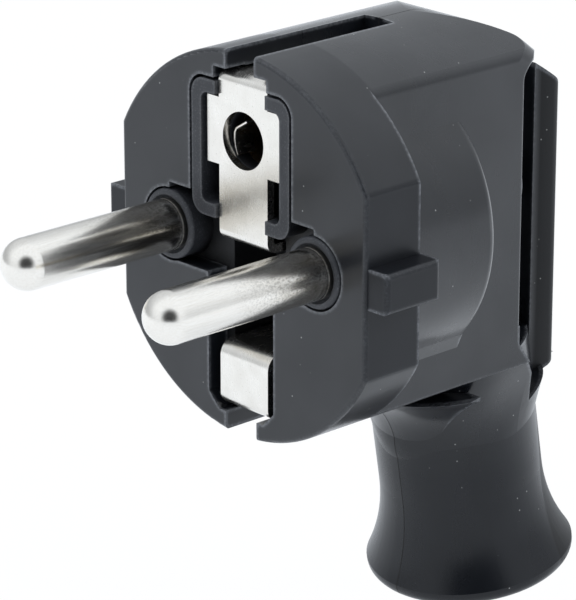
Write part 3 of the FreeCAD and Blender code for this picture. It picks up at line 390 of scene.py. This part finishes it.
# %% Strip nickel
CLEAN_STRIP = (0.86, 0.828, 0.768), (0.94, 0.910, 0.852)
STRIP_FLECK = (0.42, 0.39, 0.34)


def strip_nickel():
    skin = Finish("strip_nickel")
    rolled = skin.noise(0.10, stretch=(1, 10, 10), detail=2.0)
    soft = skin.noise(1.8, detail=2.0)
    flecks = skin.noise(0.12, detail=3.0, rough=0.7).ramp(0.62, 0.74)
    clean = skin.blend(*CLEAN_STRIP, soft.ramp(0.3, 0.7))
    skin.set(Base_Color=skin.blend(clean, STRIP_FLECK, flecks * 0.5))
    skin.set(Metallic=1.0)
    skin.set(Roughness=rolled * 0.08 + soft * 0.08 + flecks * 0.1 + 0.18)
    skin.bumps(rolled * 0.3 + soft * 0.7, 0.008, 0.3)
    keep(skin)


strip_nickel()

# %% [markdown]
# ## Inner metal and the grips
# Screws are zinc plated, the threaded inserts and the nut are turned brass, the spring in the
# receptacle is bronze, and the grips in the neck are soft and dull. Little of them shows, so one
# recipe with other colours does for all the metal.

# %% Screws, brass, bronze and grips
RUBBER_BLACK = (0.018, 0.018, 0.019), (0.035, 0.035, 0.036)


def plain_metal(name, dark, light, grain, roughness):
    skin = Finish(name)
    fine = skin.noise(grain, detail=3.0)
    broad = skin.noise(grain * 8.0, detail=2.0)
    skin.set(Base_Color=skin.blend(dark, light, (fine * 0.5 + broad * 0.5).ramp(0.35, 0.65)))
    skin.set(Metallic=1.0)
    skin.set(Roughness=fine * 0.14 + roughness)
    skin.bumps(fine, 0.01, 0.4)
    keep(skin)


def grip_rubber():
    skin = Finish("grip_rubber")
    bloom = skin.noise(0.8, detail=4.0)
    skin.set(Base_Color=skin.blend(*RUBBER_BLACK, bloom.ramp(0.35, 0.65)))
    skin.set(Roughness=bloom * 0.2 + 0.6)
    skin.bumps(skin.noise(0.2, detail=2.0), 0.03, 0.5)
    keep(skin)


plain_metal("spring_bronze", (0.42, 0.30, 0.16), (0.60, 0.45, 0.27), 0.12, 0.22)
plain_metal("inner_brass", (0.55, 0.40, 0.18), (0.72, 0.56, 0.29), 0.10, 0.20)
plain_metal("screw_steel", (0.46, 0.46, 0.45), (0.62, 0.62, 0.60), 0.08, 0.24)
grip_rubber()

# %% [markdown]
# ## Finishes on the solids
# Each solid's record says which material it is made of, and the finishes have the same names, so
# no list of pieces is written twice.

# %% Give each solid its finish
slot_of = {part["node"]: part["material_slot"] for part in frame["record"]["subparts"]}
for name, solid in frame["nodes"].items():
    for slot in solid.material_slots:
        slot.material = finishes[slot_of[name]]
print("finishes:", len(finishes), "on", len(slot_of), "solids")

# %% [markdown]
# ## Painted shade in the parting line
# The two shells meet on the middle plane with a hair's clearance, and without something in it
# light would shine through the joint from end to end. A dark film in it is painted shade, for the
# shade of the closed joint. The parting faces of one shell are copied and set in the middle of the
# clearance, so they end where the walls end, and Solidify then makes a film of them that nearly
# fills it.

# %% Film between the shells
PARTING_REACH = 0.06
FACES_SIDEWAYS = 0.99
MERGE_M = 1e-6
FILM_T = 0.09
SEAM_SHADE_BLACK = (0.006, 0.006, 0.006), (0.016, 0.015, 0.014)

shell = frame["nodes"]["left_half_shell"]
film = bpy.data.objects.new("parting_film", shell.data.copy())
bpy.context.scene.collection.objects.link(film)
bpy.ops.object.select_all(action="DESELECT")
film.select_set(True)
bpy.context.view_layer.objects.active = film
points = film.data.vertices
for face in film.data.polygons:
    in_plane = all(abs(points[i].co.x * MM_PER_M) < PARTING_REACH for i in face.vertices)
    face.select = not (in_plane and abs(face.normal.x) > FACES_SIDEWAYS)
    for i in face.vertices:
        points[i].select = face.select
bpy.ops.object.mode_set(mode="EDIT")
bpy.ops.mesh.select_mode(type="FACE")
bpy.ops.mesh.delete(type="FACE")
bpy.ops.mesh.select_all(action="SELECT")
bpy.ops.mesh.remove_doubles(threshold=MERGE_M)
bpy.ops.object.mode_set(mode="OBJECT")
film_x = film.data.vertices[0].co.x
for point in film.data.vertices:
    point.co.x = 0.0
print("parting faces:", len(film.data.polygons), "from x", round(film_x * MM_PER_M, 4), "mm")

# %% Give the film its thickness and its painted shade
layer = film.modifiers.new("layer", "SOLIDIFY")
layer.thickness = FILM_T / MM_PER_M
layer.offset = 0.0
bpy.ops.object.modifier_apply(modifier="layer")
# The film's dark colour is painted shade for the closed joint.
seam_shade = Finish("parting_shade")
mottle = seam_shade.noise(0.5, detail=3.0)
seam_shade.set(Base_Color=seam_shade.blend(*SEAM_SHADE_BLACK, mottle.ramp(0.3, 0.7)))
seam_shade.set(Roughness=mottle * 0.15 + 0.8)
film.data.materials.clear()
film.data.materials.append(seam_shade.material)
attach(film, "root")
print("film faces:", len(film.data.polygons))

# %% [markdown]
# ## Leaf in the earth receptacle
# Through the round hole one sees the leaf that grips the socket's earth pin. It is a strip of
# spring metal that is bent once, with its upper end sprung towards the middle and its lower end
# against the wall of the bore. A curve with a bevel could make it, but a plane whose far edge is
# extruded along the bend is how the strip is bent, so that is the way here. Solidify then gives
# the sheet its thickness, and Bevel breaks its cut edges.

# %% Flat end of the leaf
SOCKET_Z = 9.8
LEAF_FRONT_Y, LEAF_REAR_Y = 1.32, 3.5
LEAF_TOP, LEAF_KNEE = (-0.54, 1.45), (-1.90, 0.60)
LEAF_BENDS = [(-2.12, 0.20), (-2.17, -0.45), (-2.06, -1.15), (-1.76, -1.90)]

run = Vector((LEAF_KNEE[0] - LEAF_TOP[0], 0, LEAF_KNEE[1] - LEAF_TOP[1]))
middle_x = (LEAF_TOP[0] + LEAF_KNEE[0]) / 2
middle_y = LEAF_FRONT_Y + run.length / 2
middle_z = SOCKET_Z + (LEAF_TOP[1] + LEAF_KNEE[1]) / 2
bpy.ops.object.select_all(action="DESELECT")
bpy.ops.mesh.primitive_plane_add(size=run.length / MM_PER_M,
                                 location=[v / MM_PER_M for v in (middle_x, middle_y, middle_z)],
                                 rotation=(0, math.atan2(-run.z, run.x), 0))
leaf = bpy.context.object
leaf.name = "receptacle_leaf"
bpy.ops.object.transform_apply(location=True, rotation=True, scale=True)
print("flat end:", round(run.length, 2), "mm long")


# %% Bend the leaf
def select_points(piece, test):
    """Select the points whose place in millimetres passes a test, and what joins them."""
    bpy.ops.object.mode_set(mode="OBJECT")
    for point in piece.data.vertices:
        point.select = test(point.co * MM_PER_M)
    for edge in piece.data.edges:
        edge.select = all(piece.data.vertices[i].select for i in edge.vertices)
    for face in piece.data.polygons:
        face.select = all(piece.data.vertices[i].select for i in face.vertices)
    bpy.ops.object.mode_set(mode="EDIT")


bpy.ops.object.mode_set(mode="EDIT")
bpy.ops.mesh.select_mode(type="EDGE")
select_points(leaf, lambda co: co.y > middle_y)
rear_now = LEAF_FRONT_Y + run.length
bpy.ops.transform.translate(value=(0, (LEAF_REAR_Y - rear_now) / MM_PER_M, 0))
select_points(leaf, lambda co: co.x < middle_x)
here = LEAF_KNEE
for there in LEAF_BENDS:
    step = ((there[0] - here[0]) / MM_PER_M, 0, (there[1] - here[1]) / MM_PER_M)
    bpy.ops.mesh.extrude_region_move(TRANSFORM_OT_translate={"value": step})
    here = there
bpy.ops.mesh.select_all(action="SELECT")
bpy.ops.mesh.normals_make_consistent(inside=False)
bpy.ops.object.mode_set(mode="OBJECT")
print("bent sheet faces:", len(leaf.data.polygons))

# %% Give the leaf its thickness
LEAF_T = 0.2
LEAF_BEVEL = 0.05
BEVEL_FROM = math.radians(50)
SMOOTH_UP_TO = math.radians(40)

wall = leaf.modifiers.new("wall", "SOLIDIFY")
wall.thickness = LEAF_T / MM_PER_M
wall.offset = 0.0
rounded = leaf.modifiers.new("rounded", "BEVEL")
rounded.width = LEAF_BEVEL / MM_PER_M
rounded.segments = 2
rounded.limit_method = "ANGLE"
rounded.angle_limit = BEVEL_FROM
for name in ("wall", "rounded"):
    bpy.ops.object.modifier_apply(modifier=name)
bpy.ops.object.shade_smooth_by_angle(angle=SMOOTH_UP_TO)
leaf.data.materials.append(finishes["strip_nickel"])
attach(leaf, "root")
print("leaf faces:", len(leaf.data.polygons))

# %% [markdown]
# ## Studio
# The room is a light tent: a pale floor, a bright ceiling and front, a dimmer rear that is
# dimmest at its left, and one dark place where the photographer's camera stands, which is the
# dark spot on each pin's tip. Gloss shows all of it. The direction of a world ray comes from
# Texture Coordinate, which is the world's own, so nothing slides when the camera moves. The
# photograph's light is a little cool, so the tent is too. Two lamps light the surfaces and throw
# the shadow, and gloss doesn't show them.

# %% Floor
TENT_TINT = (0.94, 0.985, 1.04)
WHITE = (1.0, 1.0, 1.0)
PAPER_GREY = (0.84, 0.86, 0.89)
FLOOR_SIZE, FLOOR_DROP = 6.0, 0.012
GLOW_TO_CAMERA, GLOW_TO_GLOSS = 0.9, 0.5

low = cad_bounds[0]
bpy.ops.object.select_all(action="DESELECT")
bpy.ops.mesh.primitive_plane_add(size=FLOOR_SIZE, location=(0, 0, low[2] - FLOOR_DROP))
floor = bpy.context.object
floor.name = "floor"
paper = Finish("floor_paper")
to_camera = paper.node("ShaderNodeLightPath", out="Is Camera Ray")
to_gloss = paper.node("ShaderNodeLightPath", out="Is Glossy Ray")
to_glass = paper.node("ShaderNodeLightPath", out="Is Transmission Ray")
paper.set(Base_Color=PAPER_GREY, Roughness=0.9)
tint = paper.blend(TENT_TINT, WHITE, to_camera)
glow = paper.node("ShaderNodeEmission", {}, {"Color": tint, "Strength": 1.0})
share = to_camera * GLOW_TO_CAMERA + (to_gloss + to_glass).ramp(0.0, 1.0) * GLOW_TO_GLOSS
lit = Value(paper.tree, paper.shader.outputs[0])
mixed = paper.node("ShaderNodeMixShader", {}, {0: share, 1: lit, 2: glow})
paper.feed(paper.tree.nodes["Material Output"].inputs["Surface"], mixed)
floor.data.materials.append(paper.material)
print("floor at z", round(floor.data.vertices[0].co.z + floor.location.z, 4), "m")

# %% World
CEILING, REAR, FRONT, LEFT_SHARE = 1.02, 0.72, 0.92, 0.72
CEILING_START = (0.20, 0.60)
FRONT_START = (0.0, 0.6)
LEFT_START = (0.0, 0.5)
REAR_END = (-0.2, 0.3)
DARK_PLACE, DARK_SHARE = (0.78, 0.93), 0.95


class Room(Finish):
    """The world's tree, with the same node method as a finish."""

    def __init__(self, world):
        self.tree = world.node_tree
        self.shader = self.tree.nodes["Background"]


world = bpy.data.worlds.new("tent")
bpy.context.scene.world = world
world.use_nodes = True
room = Room(world)
ray = room.node("ShaderNodeTexCoord", out="Generated")
across = room.node("ShaderNodeSeparateXYZ", {}, {"Vector": ray}, out="X")
height = room.node("ShaderNodeSeparateXYZ", {}, {"Vector": ray}, out="Z").ramp(*CEILING_START)
toward = room.node("ShaderNodeVectorMath", {"operation": "DOT_PRODUCT"},
                   {0: ray, 1: tuple(back)}, out="Value")
to_camera = room.node("ShaderNodeLightPath", out="Is Camera Ray")
low_light = toward.ramp(*FRONT_START) * (FRONT - REAR) + REAR
tent = low_light * (1 - height) + height * CEILING
rear_left = (0 - across).ramp(*LEFT_START) * (1 - LEFT_SHARE) * (1 - toward.ramp(*REAR_END))
tent = tent * (1 - rear_left)
tent = tent * (1 - toward.ramp(*DARK_PLACE) * DARK_SHARE)
room.set(Color=room.blend(TENT_TINT, WHITE, to_camera))
room.set(Strength=to_camera * (1 - tent) + tent)
print("world:", len(room.tree.nodes), "nodes")

# %% Soft boxes
LAMP_AIM = Vector((0, 0.015, 0))


def soft_box(name, place, size, power):
    """A lamp that lights the surfaces and throws the shadow, but isn't seen in their gloss."""
    lamp = bpy.data.lights.new(name, "AREA")
    lamp.shape = "RECTANGLE"
    lamp.size, lamp.size_y = size
    lamp.energy = power
    box = bpy.data.objects.new(name, lamp)
    bpy.context.scene.collection.objects.link(box)
    box.visible_glossy = False
    turned = (Vector(place) - LAMP_AIM).to_track_quat("Z", "Y").to_matrix()
    box.matrix_world = Matrix.Translation(Vector(place)) @ turned.to_4x4()


soft_box("key_box", (-0.65, -0.35, 0.75), (0.6, 0.5), 5.0)
soft_box("rear_box", (0.55, 0.75, 0.55), (0.6, 0.4), 3.0)

# %% [markdown]
# ## Colours as written
# The colours are shown as they are written.

# %% Finish
bpy.context.scene.view_settings.view_transform = "Standard"
